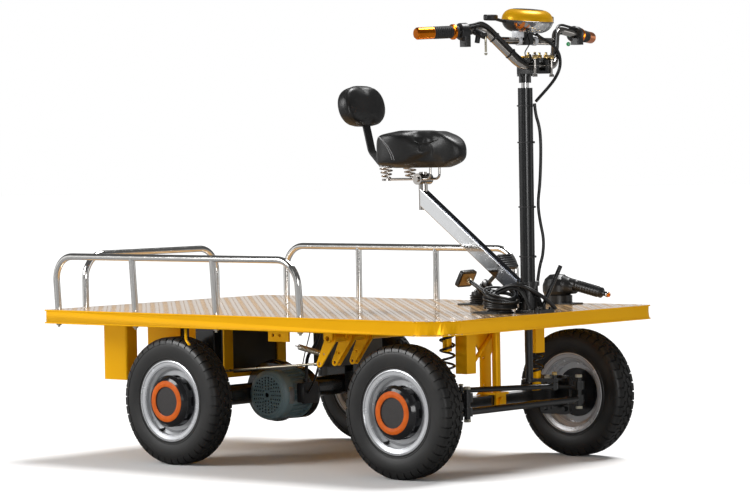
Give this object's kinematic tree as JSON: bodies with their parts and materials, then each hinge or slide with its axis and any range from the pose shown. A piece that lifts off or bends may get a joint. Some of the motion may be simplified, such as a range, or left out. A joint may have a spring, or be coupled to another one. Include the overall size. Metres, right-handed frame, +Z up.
{
  "type": "electric platform truck",
  "caption": "Sit-on electric platform truck: flat deck with low tube rails, column steering with handlebar, saddle, front beam axle on coil springs and driven rear axle.",
  "frame": {"origin": "on the floor under the middle of the deck", "axes": "+X forward, +Y to the driver's left, +Z up"},
  "size_m": [1.512, 0.952, 1.2744],
  "materials": {
    "yellow_paint": "gloss",
    "checker_sheet": "gloss chequer sheet",
    "polished_tube": "polished",
    "chrome": "polished",
    "zinc": "zinc plated",
    "black_paint": "gloss",
    "column_paint": "satin",
    "silver_paint": "satin",
    "hub_finish": "gloss black with an orange ring",
    "tyre": "matte",
    "motor_paint": "satin grey",
    "black_plastic": "matte",
    "yellow_plastic": "gloss",
    "lens": "clear",
    "leather": "satin",
    "black_rubber": "matte",
    "battery_case": "matte"
  },
  "bodies": {
    "chassis": {"axle_stops": "yellow_paint", "backrest": "leather", "backrest_stem": "black_paint", "batteries": "battery_case", "battery_cage": "yellow_paint", "brake_boot": "black_rubber", "brake_grip": "black_rubber", "brake_levers": "yellow_paint", "brake_rod": "zinc", "charger_box": "yellow_paint", "column_base": "black_paint", "column_tube": "column_paint", "controller_box": "battery_case", "deck": "checker_sheet", "foot_brake": "black_rubber", "foot_pedal": "black_rubber", "frame": "yellow_paint", "front_beam": "black_paint", "front_springs": "black_paint", "harness_lower": "black_rubber", "lock_lever": "black_paint", "motor": "motor_paint", "pivot_fork": "yellow_paint", "rail_far": "polished_tube", "rail_near": "polished_tube", "rail_rear": "polished_tube", "rear_axle": "black_paint", "saddle": "leather", "saddle_frame": "chrome", "seat_beam": "chrome", "seat_post": "chrome", "seat_sleeve": "chrome", "spring_guides": "yellow_paint", "terminal_box": "black_plastic"},
    "steering": {"steering_shaft": "chrome", "stem": "black_paint", "handlebar": "chrome", "grips": "black_rubber", "throttle_housing": "black_plastic", "switch_housing": "black_plastic", "headlight_shell": "yellow_plastic", "headlight_body": "black_plastic", "headlight_lens": "lens", "harness_upper": "black_rubber"},
    "knuckle_left": {"knuckle_left": "black_paint"},
    "wheel_front_left": {"tyre_front_left": "tyre", "rim_front_left": "silver_paint", "hub_front_left": "hub_finish"},
    "wheel_rear_left": {"tyre_rear_left": "tyre", "rim_rear_left": "silver_paint", "hub_rear_left": "hub_finish"},
    "knuckle_right": {"knuckle_right": "black_paint"},
    "wheel_front_right": {"tyre_front_right": "tyre", "rim_front_right": "silver_paint", "hub_front_right": "hub_finish"},
    "wheel_rear_right": {"tyre_rear_right": "tyre", "rim_rear_right": "silver_paint", "hub_rear_right": "hub_finish"},
    "tie_rod": {"tie_rod": "black_paint"},
    "drag_link": {"drag_link": "black_paint"}
  },
  "joints": [
    {"name": "steer", "type": "hinge", "parent": "chassis", "child": "steering", "pos_m": [0.679, 0, 1], "axis": [0, 0, 1], "range_deg": [-35, 35]},
    {"name": "kingpin_left", "type": "hinge", "parent": "chassis", "child": "knuckle_left", "pos_m": [0.55, 0.25, 0.183], "axis": [0, 0, 1], "range_deg": [-35, 35]},
    {"name": "wheel_front_left_spin", "type": "hinge", "parent": "knuckle_left", "child": "wheel_front_left", "pos_m": [0.55, 0.386, 0.183], "axis": [0, 1, 0], "continuous": true},
    {"name": "wheel_rear_left_spin", "type": "hinge", "parent": "chassis", "child": "wheel_rear_left", "pos_m": [-0.27, 0.417, 0.183], "axis": [0, 1, 0], "continuous": true},
    {"name": "kingpin_right", "type": "hinge", "parent": "chassis", "child": "knuckle_right", "pos_m": [0.55, -0.25, 0.183], "axis": [0, 0, 1], "range_deg": [-35, 35]},
    {"name": "wheel_front_right_spin", "type": "hinge", "parent": "knuckle_right", "child": "wheel_front_right", "pos_m": [0.55, -0.386, 0.183], "axis": [0, 1, 0], "continuous": true},
    {"name": "wheel_rear_right_spin", "type": "hinge", "parent": "chassis", "child": "wheel_rear_right", "pos_m": [-0.27, -0.417, 0.183], "axis": [0, 1, 0], "continuous": true},
    {"name": "tie_rod_eye", "type": "hinge", "parent": "knuckle_right", "child": "tie_rod", "pos_m": [0.66, -0.25, 0.177], "axis": [0, 0, 1], "range_deg": [-35, 35]},
    {"name": "drag_link_eye", "type": "hinge", "parent": "steering", "child": "drag_link", "pos_m": [0.745, 0.028, 0.232], "axis": [0, 0, 1], "range_deg": [-35, 35]}
  ],
  "couplings": [
    {"joint": "kingpin_left", "follows": "steer", "ratio": 1},
    {"joint": "kingpin_right", "follows": "steer", "ratio": 1},
    {"joint": "tie_rod_eye", "follows": "steer", "ratio": -1},
    {"joint": "drag_link_eye", "follows": "steer", "ratio": -1}
  ]
}
